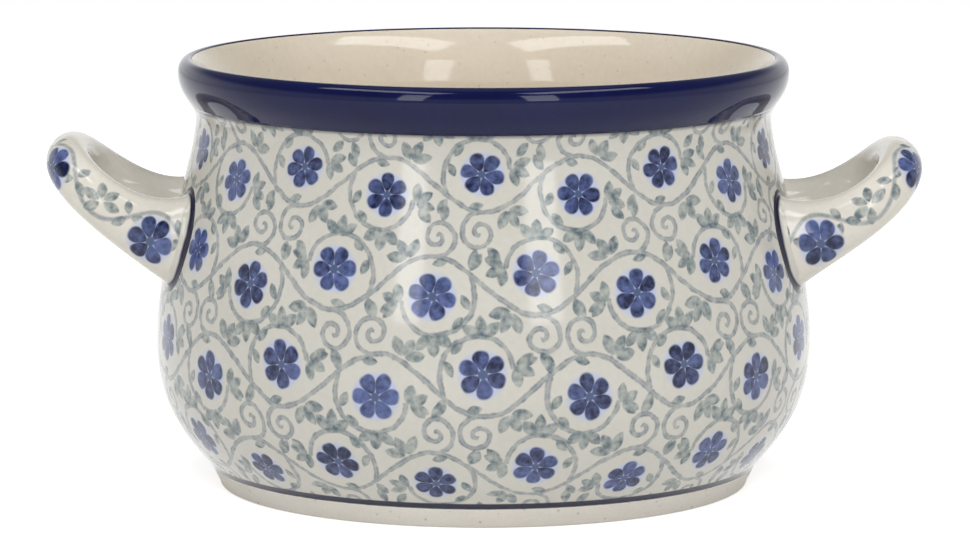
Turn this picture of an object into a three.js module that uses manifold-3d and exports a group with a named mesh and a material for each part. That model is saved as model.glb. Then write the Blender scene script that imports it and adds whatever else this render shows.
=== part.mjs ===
// A two-handled stoneware soup bowl: a turned body with a waisted neck and a rolled rim, a coat of
// cobalt glaze over the lip, and two strap handles, each luted to the belly by two beds of slip.
// Millimetres, +Z up. The origin is on the table, under the middle of the bowl; +X runs through a handle.
import * as THREE from "three";
import { mergeVertices } from "three/addons/utils/BufferGeometryUtils.js";
import Module from "manifold-3d";

// Turned body: radii outside the clay, and the height of each stretch of its outline above the one below
const FOOT_RADIUS = 56.6; // outer edge that stands on the table
const FOOT_LINE_RADIUS = 58.3; // where the foot turns into the belly
const BELLY_RADIUS = 70;
const NECK_RADIUS = 61.3;
const RIM_RADIUS = 65.05; // widest ring of the rolled rim
const FOOT_HEIGHT = 4.2;
const BELLY_RISE = 26.3;
const SHOULDER_RISE = 48.2;
const COLLAR_RISE = 9.65;
const LIP_RISE = 3.05;

// Walls and foot
const WALL = 4.6;
const FLOOR = 5.5;
const LIP_THICKNESS = 4.3;
const FOOT_RING_WIDTH = 6.5;
const FOOT_RECESS = 2.4; // how far the middle of the underside stands off the table
const FOOT_EDGE = 0.7; // bevel on both edges of the standing ring
const RECESS_SLOPE = 1.2; // how far the inner side of the ring leans in

// Coat of cobalt glaze over the lip
const RIM_COAT = 0.5;
const RIM_COAT_DROP = 6.8; // its outer edge, below the widest ring of the rim
const RIM_COAT_LAP = 0.9; // how far it runs over the crest towards the inside

// Strap handle: half of a loop, from the middle of one root to the tip
const ROOT_RISE = 23.7; // middle of the root above the widest ring of the belly
const ROOT_SPREAD = 18.4; // middle of the root to the plane through the bowl's axis and the tip
const TIP_REACH = 22.1; // middle of the tip beyond the wall at the root's height
const TIP_RISE = 15.3; // middle of the tip above the middle of the root
const TIP_TILT = 36; // degrees that the strap leans at the tip
const ROOT_RUN = 16; // how far the strap leaves the wall squarely before it bends up
const TIP_RUN = 22; // how far it runs straight across the tip
const STRAP_WIDTH = 9.8;
const STRAP_THICKNESS = 8.7;
const ROOT_WIDTH = 19.4;
const ROOT_THICKNESS = 12.6;

// Bed of slip between a root and the wall
const SLIP_THICKNESS = 0.8;
const SLIP_BEAD = 0.8; // how far it squeezes out round the root
const SEAT_GAP = 0.3; // clearance on each side of the slip

// Shape of the curves, as shares of the stretch that they belong to
const FOOT_LEAN = 64; // degrees from level at which the belly leaves the foot
const FOOT_PULL = 0.15;
const BELLY_PULL = 0.63;
const SHOULDER_PULL = 0.425;
const NECK_PULL = 0.185;
const COLLAR_PULL = 0.325;
const RIM_PULL = 0.52;
const LIP_TURN = 125; // degrees that the lip rolls over before its inside flares down to the neck
const FLARE_PULL = 0.165;
const THROAT_PULL = 0.41;
const FLOOR_PULL = 0.62; // how far the flat floor runs out before it turns up
const FLARE_POWER = 4.3; // how late the strap swells towards its root
const TILT_POWER = 2.3; // how late its lean turns into the wall's
const SECTION_POWER = 2.1; // 2 is an ellipse; more is squarer
const ROOT_SHARE = 0.25; // stretch of the strap that holds one root

// Facets
const TURN_SIDES = 56;
const LONG_CURVE_STEPS = 10;
const SHORT_CURVE_STEPS = 5;
const EDGE_CURVE_STEPS = 2;
const STRAP_STEPS = 30;
const STRAP_SIDES = 16;
const HALVINGS = 40; // of a share, to find where a curve passes a height

const BELLY_HEIGHT = FOOT_HEIGHT + BELLY_RISE;
const NECK_HEIGHT = BELLY_HEIGHT + SHOULDER_RISE;
const RIM_HEIGHT = NECK_HEIGHT + COLLAR_RISE;
const ROOT_HEIGHT = BELLY_HEIGHT + ROOT_RISE;
const FLOOR_HEIGHT = FOOT_RECESS + FLOOR;
const CREST_RADIUS = RIM_RADIUS - LIP_THICKNESS / 2;

const wasm = await Module();
wasm.setup();

const point = (radius, height) => new THREE.Vector2(radius, height);

// A closed three.js geometry as a solid that can be joined and cut
function toSolid(geometry) {
  const bare = geometry.clone();
  bare.deleteAttribute("normal");
  bare.deleteAttribute("uv");
  const merged = mergeVertices(bare);
  return new wasm.Manifold(
    new wasm.Mesh({
      numProp: 3,
      vertProperties: merged.attributes.position.array,
      triVerts: new Uint32Array(merged.index.array),
    }),
  );
}

function toGeometry(solid) {
  const { vertProperties, triVerts } = solid.getMesh();
  const geometry = new THREE.BufferGeometry();
  geometry.setAttribute("position", new THREE.BufferAttribute(vertProperties, 3));
  geometry.setIndex(new THREE.BufferAttribute(triVerts, 1));
  geometry.computeVertexNormals();
  return geometry;
}

// Points along a curve of the outline, moved `inset` into the clay, which lies on the left of its travel
function along(curve, steps, { from = 0, to = 1, inset = 0 } = {}) {
  return Array.from({ length: steps + 1 }, (_, i) => {
    const t = from + ((to - from) * i) / steps;
    const place = curve.getPoint(t);
    const travel = curve.getTangent(t);
    return point(place.x - inset * travel.y, place.y + inset * travel.x);
  });
}

// Where a rising or falling curve passes a height
function shareAtHeight(curve, height) {
  const rising = curve.getPoint(1).y > curve.getPoint(0).y;
  let [low, high] = [0, 1];
  for (let i = 0; i < HALVINGS; i += 1) {
    const middle = (low + high) / 2;
    if (curve.getPoint(middle).y < height === rising) low = middle;
    else high = middle;
  }
  return (low + high) / 2;
}

function turn(outline) {
  return new THREE.LatheGeometry(outline, TURN_SIDES).rotateX(Math.PI / 2);
}

// A stretch of outline that is upright at both ends
function uprightCurve(start, end, startPull, endPull) {
  const rise = end.y - start.y;
  return new THREE.CubicBezierCurve(
    start,
    point(start.x, start.y + rise * startPull),
    point(end.x, end.y - rise * endPull),
    end,
  );
}

// Outside of the bowl, from the foot line up to the crest of the lip, then down inside to the floor
const footLean = THREE.MathUtils.degToRad(FOOT_LEAN);
const lowerBelly = new THREE.CubicBezierCurve(
  point(FOOT_LINE_RADIUS, FOOT_HEIGHT),
  point(
    FOOT_LINE_RADIUS + BELLY_RISE * FOOT_PULL * Math.cos(footLean),
    FOOT_HEIGHT + BELLY_RISE * FOOT_PULL * Math.sin(footLean),
  ),
  point(BELLY_RADIUS, BELLY_HEIGHT - BELLY_RISE * BELLY_PULL),
  point(BELLY_RADIUS, BELLY_HEIGHT),
);
const shoulder = uprightCurve(
  point(BELLY_RADIUS, BELLY_HEIGHT),
  point(NECK_RADIUS, NECK_HEIGHT),
  SHOULDER_PULL,
  NECK_PULL,
);
const collar = uprightCurve(
  point(NECK_RADIUS, NECK_HEIGHT),
  point(RIM_RADIUS, RIM_HEIGHT),
  COLLAR_PULL,
  RIM_PULL,
);
const lipTurn = THREE.MathUtils.degToRad(LIP_TURN);
const lip = new THREE.EllipseCurve(CREST_RADIUS, RIM_HEIGHT, LIP_THICKNESS / 2, LIP_RISE, 0, lipTurn);
const lipEnd = lip.getPoint(1);
const flareDrop = lipEnd.y - NECK_HEIGHT;
const innerCollar = new THREE.CubicBezierCurve(
  lipEnd,
  lip.getTangent(1).multiplyScalar(flareDrop * FLARE_PULL).add(lipEnd),
  point(NECK_RADIUS - WALL, NECK_HEIGHT + flareDrop * THROAT_PULL),
  point(NECK_RADIUS - WALL, NECK_HEIGHT),
);
const innerShoulder = uprightCurve(
  point(NECK_RADIUS - WALL, NECK_HEIGHT),
  point(BELLY_RADIUS - WALL, BELLY_HEIGHT),
  NECK_PULL,
  SHOULDER_PULL,
);
const innerBelly = new THREE.CubicBezierCurve(
  point(BELLY_RADIUS - WALL, BELLY_HEIGHT),
  point(BELLY_RADIUS - WALL, BELLY_HEIGHT - (BELLY_HEIGHT - FLOOR_HEIGHT) * BELLY_PULL),
  point((BELLY_RADIUS - WALL) * FLOOR_PULL, FLOOR_HEIGHT),
  point(0, FLOOR_HEIGHT),
);
const coatStart = shareAtHeight(collar, RIM_HEIGHT - RIM_COAT_DROP);
const coatEnd = Math.acos((-2 * RIM_COAT_LAP) / LIP_THICKNESS) / lipTurn;

// Surface of the rim under (inset = RIM_COAT) or over (inset = 0) the cobalt coat
function rimSurface(inset) {
  return [
    ...along(collar, SHORT_CURVE_STEPS, { from: coatStart, inset }),
    ...along(lip, SHORT_CURVE_STEPS, { to: coatEnd, inset }).slice(1),
  ];
}

// Body of stoneware: standing ring, belly, waisted neck, lip and inside, in one turned piece
function bowlBody() {
  const ringInside = FOOT_RADIUS - FOOT_RING_WIDTH;
  const underside = [
    point(0, FOOT_RECESS),
    point(ringInside - RECESS_SLOPE, FOOT_RECESS),
    point(ringInside, FOOT_EDGE),
    point(ringInside + FOOT_EDGE, 0),
    point(FOOT_RADIUS - FOOT_EDGE, 0),
    point(FOOT_RADIUS, FOOT_EDGE),
  ];
  return turn([
    ...underside,
    ...along(lowerBelly, LONG_CURVE_STEPS),
    ...along(shoulder, LONG_CURVE_STEPS).slice(1),
    ...along(collar, EDGE_CURVE_STEPS, { to: coatStart }).slice(1),
    ...rimSurface(RIM_COAT),
    ...along(lip, EDGE_CURVE_STEPS, { from: coatEnd }),
    ...along(innerCollar, SHORT_CURVE_STEPS).slice(1),
    ...along(innerShoulder, LONG_CURVE_STEPS).slice(1),
    ...along(innerBelly, LONG_CURVE_STEPS).slice(1),
  ]);
}

function rimGlaze() {
  const outside = rimSurface(0);
  const inside = rimSurface(RIM_COAT).reverse();
  return turn([...outside, ...inside, outside[0]]);
}

// The bowl's outside as a plain solid, grown by a clearance: what a root or its slip is cut to fit
function wallGrownBy(clearance) {
  const face = [
    ...along(lowerBelly, LONG_CURVE_STEPS, { inset: -clearance }),
    ...along(shoulder, LONG_CURVE_STEPS, { inset: -clearance }).slice(1),
    ...along(collar, SHORT_CURVE_STEPS, { inset: -clearance }).slice(1),
  ];
  return toSolid(turn([point(0, face[0].y), ...face, point(0, face.at(-1).y)]));
}

// Line of the strap's middle from one root round the tip to the other, on the side of -X
function strapLine() {
  const share = shareAtHeight(shoulder, ROOT_HEIGHT);
  const wall = shoulder.getPoint(share);
  const travel = shoulder.getTangent(share);
  const spreadAngle = Math.asin(ROOT_SPREAD / wall.x);
  const face = new THREE.Vector3(-wall.x * Math.cos(spreadAngle), -ROOT_SPREAD, ROOT_HEIGHT);
  const out = new THREE.Vector3(-travel.y, 0, -travel.x);
  const tip = new THREE.Vector3(-wall.x - TIP_REACH, 0, ROOT_HEIGHT + TIP_RISE);
  const bend = face.clone().addScaledVector(out, ROOT_RUN);
  const cross = tip.clone().add(new THREE.Vector3(0, -TIP_RUN, 0));
  const behind = face.clone().addScaledVector(out, -ROOT_THICKNESS / 2);
  const mirrored = (v) => new THREE.Vector3(v.x, -v.y, v.z);
  const line = new THREE.CurvePath();
  line.add(new THREE.LineCurve3(behind, face));
  line.add(new THREE.CubicBezierCurve3(face, bend, cross, tip));
  line.add(new THREE.CubicBezierCurve3(tip, mirrored(cross), mirrored(bend), mirrored(face)));
  line.add(new THREE.LineCurve3(mirrored(face), mirrored(behind)));
  const visibleShare = 1 - ROOT_THICKNESS / line.getLength();
  return { line, visibleShare, lean: Math.atan2(-travel.x, travel.y) };
}

const { line: strapMiddle, visibleShare, lean: wallLean } = strapLine();

// Section of the strap at a share of its line, grown all round by `margin`
function strapRing(share, margin) {
  const middle = strapMiddle.getPointAt(share);
  const travel = strapMiddle.getTangentAt(share);
  const towardsRoot = Math.min(1, Math.abs(2 * share - 1) / visibleShare);
  const flare = towardsRoot ** FLARE_POWER;
  const tilt = THREE.MathUtils.lerp(THREE.MathUtils.degToRad(TIP_TILT), wallLean, towardsRoot ** TILT_POWER);
  const upright = new THREE.Vector3(Math.sin(tilt), 0, Math.cos(tilt));
  const outward = new THREE.Vector3().crossVectors(upright, travel).normalize();
  const across = new THREE.Vector3().crossVectors(outward, travel);
  const halfWidth = THREE.MathUtils.lerp(STRAP_WIDTH, ROOT_WIDTH, flare) / 2 + margin;
  const halfThickness = THREE.MathUtils.lerp(STRAP_THICKNESS, ROOT_THICKNESS, flare) / 2 + margin;
  const rounded = (value) => Math.sign(value) * Math.abs(value) ** (2 / SECTION_POWER);
  return Array.from({ length: STRAP_SIDES }, (_, i) => {
    const angle = (2 * Math.PI * i) / STRAP_SIDES;
    return middle
      .clone()
      .addScaledVector(outward, halfThickness * rounded(Math.cos(angle)))
      .addScaledVector(across, halfWidth * rounded(Math.sin(angle)));
  });
}

// A closed skin over a row of rings that have the same number of points
function loft(rings) {
  const sides = rings[0].length;
  const last = (rings.length - 1) * sides;
  const faces = [];
  for (let r = 0; r + 1 < rings.length; r += 1) {
    for (let s = 0; s < sides; s += 1) {
      const [a, b] = [r * sides + s, r * sides + ((s + 1) % sides)];
      faces.push(a, b + sides, b, a, a + sides, b + sides);
    }
  }
  for (let s = 1; s + 1 < sides; s += 1) {
    faces.push(0, s, s + 1, last, last + s + 1, last + s);
  }
  const geometry = new THREE.BufferGeometry().setFromPoints(rings.flat());
  geometry.setIndex(faces);
  return geometry;
}

function strap(from, to, margin) {
  const steps = Math.ceil(STRAP_STEPS * (to - from));
  const shares = Array.from({ length: steps + 1 }, (_, i) => from + ((to - from) * i) / steps);
  return toSolid(loft(shares.map((share) => strapRing(share, margin))));
}

// Handle with both roots cut to the curve of the belly
function handle() {
  const seat = wallGrownBy(2 * SEAT_GAP + SLIP_THICKNESS);
  return toGeometry(strap(0, 1, 0).subtract(seat));
}

// Slip under the root at one end of the strap, squeezed out into a bead round it
function slipBed(from, to) {
  const bed = wallGrownBy(SEAT_GAP + SLIP_THICKNESS).subtract(wallGrownBy(SEAT_GAP));
  return toGeometry(strap(from, to, SLIP_BEAD).intersect(bed));
}

const glazedStoneware = new THREE.MeshStandardMaterial({ color: 0xdcd8cd, roughness: 0.15 });
const cobaltGlaze = new THREE.MeshStandardMaterial({ color: 0x24264f, roughness: 0.12 });
const firedSlip = new THREE.MeshStandardMaterial({ color: 0xcfc6b6, roughness: 0.5 });

function node(name, geometry, material) {
  const mesh = new THREE.Mesh(geometry, material);
  mesh.name = name;
  return mesh;
}

const bowl = new THREE.Group();
bowl.add(node("bowl_body", bowlBody(), glazedStoneware));
bowl.add(node("rim_glaze", rimGlaze(), cobaltGlaze));

const handleGeometry = handle();
const startSlip = slipBed(0, ROOT_SHARE);
const endSlip = slipBed(1 - ROOT_SHARE, 1);
const sides = [
  { side: "left", turned: 0, startsAt: "front", endsAt: "rear" },
  { side: "right", turned: Math.PI, startsAt: "rear", endsAt: "front" },
];
for (const { side, turned, startsAt, endsAt } of sides) {
  const lug = new THREE.Group();
  lug.rotation.z = turned;
  lug.add(node(`handle_${side}`, handleGeometry, glazedStoneware));
  lug.add(node(`slip_${side}_${startsAt}`, startSlip, firedSlip));
  lug.add(node(`slip_${side}_${endsAt}`, endSlip, firedSlip));
  bowl.add(lug);
}

export default bowl;
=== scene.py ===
"""Looks of the soup bowl: turned stoneware, a cobalt rim and two strap handles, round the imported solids."""

import logging
import math
from dataclasses import dataclass
from enum import Enum
from functools import cache, cached_property, reduce
from typing import Callable, Iterable, Sequence

import bmesh
import bpy
import numpy as np
from bpy.types import ID, Material, Mesh, Node, NodeSocket, NodeTree, Object, World, bpy_struct
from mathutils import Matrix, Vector


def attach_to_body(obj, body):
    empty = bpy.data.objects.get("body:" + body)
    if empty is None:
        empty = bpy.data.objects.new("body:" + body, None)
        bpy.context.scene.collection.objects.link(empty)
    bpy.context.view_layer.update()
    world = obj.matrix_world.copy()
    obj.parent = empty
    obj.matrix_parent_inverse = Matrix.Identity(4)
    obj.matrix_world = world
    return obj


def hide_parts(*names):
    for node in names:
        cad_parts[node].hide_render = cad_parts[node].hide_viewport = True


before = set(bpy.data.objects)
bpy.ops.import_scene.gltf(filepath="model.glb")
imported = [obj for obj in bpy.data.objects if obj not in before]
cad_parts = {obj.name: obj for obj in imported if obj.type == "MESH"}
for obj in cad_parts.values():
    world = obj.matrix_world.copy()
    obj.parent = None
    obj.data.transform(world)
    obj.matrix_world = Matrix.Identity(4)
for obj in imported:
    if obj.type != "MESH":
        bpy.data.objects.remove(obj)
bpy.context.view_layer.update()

LOG = logging.getLogger("soup_bowl")
MM = 0.001
TURN = 2 * math.pi
WHITE = (1.0, 1.0, 1.0, 1.0)
BAKE_MAP = "OFBake"
FINISHED_PARTS = ("Foot Finish", "Wall Finish", "Inside Finish")

Curve = Callable[[float], Vector]
Span = tuple[float, float]
Feed = bpy_struct | float | str | tuple | None


class Slot(Enum):
    """Material slots of the part's record."""

    STONEWARE = "glazed_stoneware"
    COBALT = "cobalt_glaze"
    SLIP = "fired_slip"


class Side(Enum):
    """Sides of the bowl that carry a handle."""

    LEFT = "left"
    RIGHT = "right"


class End(Enum):
    """Ends of a strap: the one near the viewer and the one behind."""

    FRONT = "front"
    REAR = "rear"


class Op(Enum):
    """Sums that a Math node does."""

    ADD = "ADD"
    SUB = "SUBTRACT"
    MUL = "MULTIPLY"
    DIV = "DIVIDE"
    POW = "POWER"
    MIN = "MINIMUM"
    MAX = "MAXIMUM"
    LESS = "LESS_THAN"
    ABS = "ABSOLUTE"
    ROUND = "ROUND"
    FLOOR = "FLOOR"
    MOD = "FLOORED_MODULO"
    WRAP = "WRAP"
    SIN = "SINE"
    COS = "COSINE"
    ATAN2 = "ARCTAN2"


class Ease(Enum):
    """Ways in which a painted mark thins out at its edge."""

    SMOOTH = "SMOOTHSTEP"
    EVEN = "LINEAR"


class Socket(Enum):
    """Kinds of input and output that the node groups have."""

    NUMBER = "NodeSocketFloat"
    COUNT = "NodeSocketInt"
    PLACE = "NodeSocketVector"
    SHAPE = "NodeSocketGeometry"
    MATERIAL = "NodeSocketMaterial"


def linear(hex_code: str) -> tuple[float, float, float, float]:
    """Turns an sRGB hex colour into linear light.

    Args:
        hex_code: Six hex digits.

    Returns:
        Red, green, blue and an alpha of 1.
    """
    parts = [int(hex_code[i : i + 2], 16) / 255 for i in (0, 2, 4)]
    return (*(p / 12.92 if p <= 0.04045 else ((p + 0.055) / 1.055) ** 2.4 for p in parts), 1.0)


class Sheet:
    """A node tree while its nodes are drawn."""

    def __init__(self, tree: NodeTree) -> None:
        """Takes an empty tree."""
        self.tree = tree

    @classmethod
    def of(cls, owner: Material | World) -> "Sheet":
        """Empties the tree of a material or a world."""
        owner.use_nodes = True
        owner.node_tree.nodes.clear()
        return cls(owner.node_tree)

    @classmethod
    def group(cls, name: str, kind: str, takes: dict[str, Socket], gives: dict[str, Socket]) -> "Sheet":
        """Starts a group that other trees can use.

        Args:
            name: Name of the group.
            kind: Blender's name of the kind of tree.
            takes: Its inputs.
            gives: Its outputs.

        Returns:
            The sheet, with the group's inputs in `taken`, in their order.
        """
        sheet = cls(bpy.data.node_groups.new(name, kind))
        for in_out, sockets in (("INPUT", takes), ("OUTPUT", gives)):
            for label, socket in sockets.items():
                sheet.tree.interface.new_socket(label, in_out=in_out, socket_type=socket.value)
        inputs = sheet.add("NodeGroupInput").outputs
        sheet.taken = [inputs[label] for label in takes]
        return sheet

    def source(self, feed: Feed) -> Feed:
        """Gives the socket or value that a feed stands for; a tuple that starts with a sum is added first."""
        if isinstance(feed, tuple) and isinstance(feed[0], Op):
            feed = self.add(*feed)
        return next(s for s in feed.outputs if s.enabled) if isinstance(feed, Node) else feed

    def add(self, kind: str | Op, *feeds: Feed, **named: Feed) -> Node:
        """Adds one node with its settings and links.

        Args:
            kind: Blender's name of the node, or a sum.
            feeds: Values, sources or sums for its open inputs in order; None leaves one as it is.
            named: Settings under their own names, and inputs under theirs, with _ for each space.

        Returns:
            The node.
        """
        feeds = [self.source(feed) for feed in feeds]
        named = {name: self.source(feed) for name, feed in named.items()}
        node = self.tree.nodes.new("ShaderNodeMath" if isinstance(kind, Op) else kind)
        if isinstance(kind, Op):
            node.operation = kind.value
        for name in [name for name in named if hasattr(node, name)]:
            setattr(node, name, named.pop(name))
        pairs = list(zip((s for s in node.inputs if s.enabled), feeds))
        for socket, value in pairs + [(node.inputs[n.replace("_", " ")], v) for n, v in named.items()]:
            if isinstance(value, NodeSocket):
                self.tree.links.new(value, socket)
            elif value is not None:
                socket.default_value = value
        return node

    def least(self, feeds: Iterable[Feed]) -> Feed:
        """Gives the least of several values."""
        return reduce(lambda low, feed: self.add(Op.MIN, low, feed), feeds)


def bezier(*handles: Vector) -> Curve:
    """Gives the smooth curve that a row of handles pulls.

    Args:
        handles: Its start, the points that pull it, and its end.

    Returns:
        The curve, as a function of a share from 0 to 1.
    """

    def at(share: float) -> Vector:
        """Gives the point at a share of the curve."""
        row = list(handles)
        while len(row) > 1:
            row = [a.lerp(b, share) for a, b in zip(row, row[1:])]
        return row[0]

    return at


def upright(start: Vector, end: Vector, start_pull: float, end_pull: float) -> Curve:
    """Gives a stretch of outline that is upright at both ends.

    Args:
        start: Radius and height where it starts.
        end: Radius and height where it ends.
        start_pull: Share of the rise over which it leaves upright.
        end_pull: Share of the rise over which it arrives upright.

    Returns:
        The curve.
    """
    rise = end.y - start.y
    return bezier(start, start + Vector((0, rise * start_pull)), end - Vector((0, rise * end_pull)), end)


def walk(curve: Curve, steps: int, first: float = 0.0, last: float = 1.0) -> list[Vector]:
    """Gives evenly stepped points of a curve.

    Args:
        curve: The curve.
        steps: Number of steps.
        first: Share where they start.
        last: Share where they end.

    Returns:
        The points, one more than the steps.
    """
    return [curve(first + (last - first) * i / steps) for i in range(steps + 1)]


def lengths(points: Sequence[Vector]) -> np.ndarray:
    """Gives how far along a row of points each one lies."""
    rows = np.array([tuple(p) for p in points])
    return np.concatenate([[0.0], np.cumsum(np.linalg.norm(np.diff(rows, axis=0), axis=1))])


def put(name: str, data: ID) -> Object:
    """Puts a mesh, a lamp or a camera into the scene, at the origin."""
    placed = bpy.data.objects.new(name, data)
    bpy.context.scene.collection.objects.link(placed)
    return placed


def store(mesh: Mesh, name: str, values: np.ndarray) -> None:
    """Keeps a number, or a vector, for each point of a mesh."""
    kind, field = ("FLOAT", "value") if values.ndim == 1 else ("FLOAT_VECTOR", "vector")
    mesh.attributes.new(name, kind, "POINT").data.foreach_set(field, values.astype(np.float32).ravel())


def attach(piece: Object, node: str, slot: Slot) -> None:
    """Lets a finished piece stand for its solid.

    Args:
        piece: The piece.
        node: Solid that it replaces.
        slot: Material slot of the part's record, which is only named in the log.
    """
    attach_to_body(piece, "root")
    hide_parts(node)
    LOG.info("%s: %d faces, %s", piece.name, len(piece.data.polygons), slot.value)


def skin(name: str, rings: np.ndarray, closed: bool) -> Mesh:
    """Stretches a closed skin over a row of rings.

    Args:
        name: Name of the mesh.
        rings: Points in millimetres, as rings by points by 3.
        closed: Whether the last ring joins the first; otherwise both ends get a cap.

    Returns:
        The mesh, in metres, with its faces outwards.
    """
    count, sides = rings.shape[:2]
    index = np.arange(count * sides).reshape(count, sides)
    faces = []
    for r in range(count if closed else count - 1):
        low, high = index[r], index[(r + 1) % count]
        faces += [(low[s], low[(s + 1) % sides], high[(s + 1) % sides], high[s]) for s in range(sides)]
    if not closed:
        faces += [tuple(index[0][::-1]), tuple(index[-1])]
    mesh = bpy.data.meshes.new(name)
    mesh.from_pydata((rings.reshape(-1, 3) * MM).tolist(), [], [[int(v) for v in f] for f in faces])
    shell = bmesh.new()
    shell.from_mesh(mesh)
    bmesh.ops.recalc_face_normals(shell, faces=shell.faces)
    shell.to_mesh(mesh)
    shell.free()
    mesh.shade_smooth()
    return mesh


@dataclass(frozen=True)
class Outline:
    """Half section of the turned bowl, as radii and heights in millimetres."""

    foot_radius: float = 56.6
    foot_line_radius: float = 58.3
    belly_radius: float = 70.0
    neck_radius: float = 61.3
    rim_radius: float = 65.05
    foot_height: float = 4.2
    belly_rise: float = 26.3
    shoulder_rise: float = 48.2
    collar_rise: float = 9.65
    lip_rise: float = 3.05
    wall: float = 4.6
    floor: float = 5.5
    lip_thickness: float = 4.3
    ring_width: float = 6.5
    ring_recess: float = 2.4
    ring_edge: float = 0.7
    recess_slope: float = 1.2
    foot_lean: float = 64.0
    foot_pull: float = 0.15
    belly_pull: float = 0.63
    shoulder_pull: float = 0.425
    neck_pull: float = 0.185
    collar_pull: float = 0.325
    rim_pull: float = 0.52
    lip_turn: float = 125.0
    flare_pull: float = 0.165
    throat_pull: float = 0.41
    floor_pull: float = 0.62
    coat: float = 0.5
    coat_drop: float = 6.8
    coat_lap: float = 0.9
    coat_feather: float = 2.0
    fine_steps: int = 2000
    long_steps: int = 30
    short_steps: int = 12
    edge_steps: int = 4

    @property
    def belly_height(self) -> float:
        """Height of the widest ring."""
        return self.foot_height + self.belly_rise

    @property
    def neck_height(self) -> float:
        """Height of the waist."""
        return self.belly_height + self.shoulder_rise

    @property
    def rim_height(self) -> float:
        """Height where the lip starts to roll over."""
        return self.neck_height + self.collar_rise

    @property
    def lower_belly(self) -> Curve:
        """Outside from the foot line to the widest ring."""
        start = Vector((self.foot_line_radius, self.foot_height))
        lean = math.radians(self.foot_lean)
        leave = Vector((math.cos(lean), math.sin(lean))) * self.belly_rise * self.foot_pull
        arrive = Vector((self.belly_radius, self.belly_height - self.belly_rise * self.belly_pull))
        return bezier(start, start + leave, arrive, Vector((self.belly_radius, self.belly_height)))

    @property
    def shoulder(self) -> Curve:
        """Outside from the widest ring to the waist."""
        start = Vector((self.belly_radius, self.belly_height))
        end = Vector((self.neck_radius, self.neck_height))
        return upright(start, end, self.shoulder_pull, self.neck_pull)

    @property
    def collar(self) -> Curve:
        """Outside from the waist to the rim."""
        start = Vector((self.neck_radius, self.neck_height))
        end = Vector((self.rim_radius, self.rim_height))
        return upright(start, end, self.collar_pull, self.rim_pull)

    def lip(self, share: float) -> Vector:
        """Gives a point of the roll over the lip, from outside to inside."""
        half, turn = self.lip_thickness / 2, math.radians(self.lip_turn) * share
        radius = self.rim_radius - half + half * math.cos(turn)
        return Vector((radius, self.rim_height + self.lip_rise * math.sin(turn)))

    @property
    def coat_start(self) -> float:
        """Share of the collar where the cobalt coat starts."""
        shares = np.linspace(0, 1, self.fine_steps)
        heights = [self.collar(s).y for s in shares]
        return float(np.interp(self.rim_height - self.coat_drop, heights, shares))

    @property
    def coat_end(self) -> float:
        """Share of the lip where the cobalt coat ends."""
        return math.acos(-2 * self.coat_lap / self.lip_thickness) / math.radians(self.lip_turn)

    def rim_surface(self) -> list[Vector]:
        """Gives the outside of the rim, from the lower to the inner edge of the cobalt coat."""
        collar = walk(self.collar, self.short_steps, first=self.coat_start)
        return collar + walk(self.lip, self.short_steps, last=self.coat_end)[1:]

    def clay_under_coat(self) -> list[Vector]:
        """Gives the clay under the cobalt coat, which thins out towards both of its edges."""
        face = self.rim_surface()
        far = lengths(face)
        inset = []
        for i, point in enumerate(face):
            travel = (face[min(i + 1, len(face) - 1)] - face[max(i - 1, 0)]).normalized()
            edge = min(1.0, min(far[i], far[-1] - far[i]) / self.coat_feather)
            inset.append(point + Vector((-travel.y, travel.x)) * self.coat * edge * edge * (3 - 2 * edge))
        return inset

    def underside(self) -> list[Vector]:
        """Gives the recessed underside and the standing ring, up to the foot line."""
        inner, outer, edge = self.foot_radius - self.ring_width, self.foot_radius, self.ring_edge
        recess = Vector((inner - self.recess_slope, self.ring_recess))
        rounded = [
            bezier(Vector((inner, edge)), Vector((inner, 0)), Vector((inner + edge, 0))),
            bezier(Vector((outer - edge, 0)), Vector((outer, 0)), Vector((outer, edge))),
        ]
        centre, line = Vector((0, self.ring_recess)), Vector((self.foot_line_radius, self.foot_height))
        points = walk(bezier(centre, recess), self.short_steps)
        points += walk(bezier(recess, Vector((inner, edge))), self.edge_steps)[1:-1]
        points += walk(rounded[0], self.edge_steps) + walk(rounded[1], self.edge_steps)
        return points + walk(bezier(points[-1], line), self.edge_steps)[1:-1]

    def outside(self) -> list[Vector]:
        """Gives the painted wall, from the foot line to the cobalt coat."""
        points = walk(self.lower_belly, self.long_steps)
        points += walk(self.shoulder, self.long_steps)[1:]
        return points + walk(self.collar, self.edge_steps, last=self.coat_start)[1:]

    def inner_collar(self, neck: Vector) -> Curve:
        """Gives the flared inside of the collar, from the roll of the lip down to the waist.

        Args:
            neck: Inside of the waist, as a radius and a height.

        Returns:
            The curve, which leaves the lip along its roll and reaches the waist upright.
        """
        start, turn = self.lip(1.0), math.radians(self.lip_turn)
        drop = start.y - neck.y
        roll = Vector((-self.lip_thickness / 2 * math.sin(turn), self.lip_rise * math.cos(turn))).normalized()
        leave = start + roll * drop * self.flare_pull
        return bezier(start, leave, neck + Vector((0, drop * self.throat_pull)), neck)

    def inside(self) -> list[Vector]:
        """Gives the plain inside, from the cobalt coat down to the middle of the floor."""
        belly, floor = self.belly_radius - self.wall, self.ring_recess + self.floor
        neck_at = Vector((self.neck_radius - self.wall, self.neck_height))
        belly_at = Vector((belly, self.belly_height))
        shoulder = upright(neck_at, belly_at, self.neck_pull, self.shoulder_pull)
        arrive = Vector((belly, self.belly_height - (self.belly_height - floor) * self.belly_pull))
        dish = bezier(belly_at, arrive, Vector((belly * self.floor_pull, floor)), Vector((0, floor)))
        points = walk(self.lip, self.edge_steps, first=self.coat_end)
        points += walk(self.inner_collar(neck_at), self.short_steps)[1:]
        for curve in (shoulder, dish):
            points += walk(curve, self.long_steps)[1:]
        return points

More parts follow.
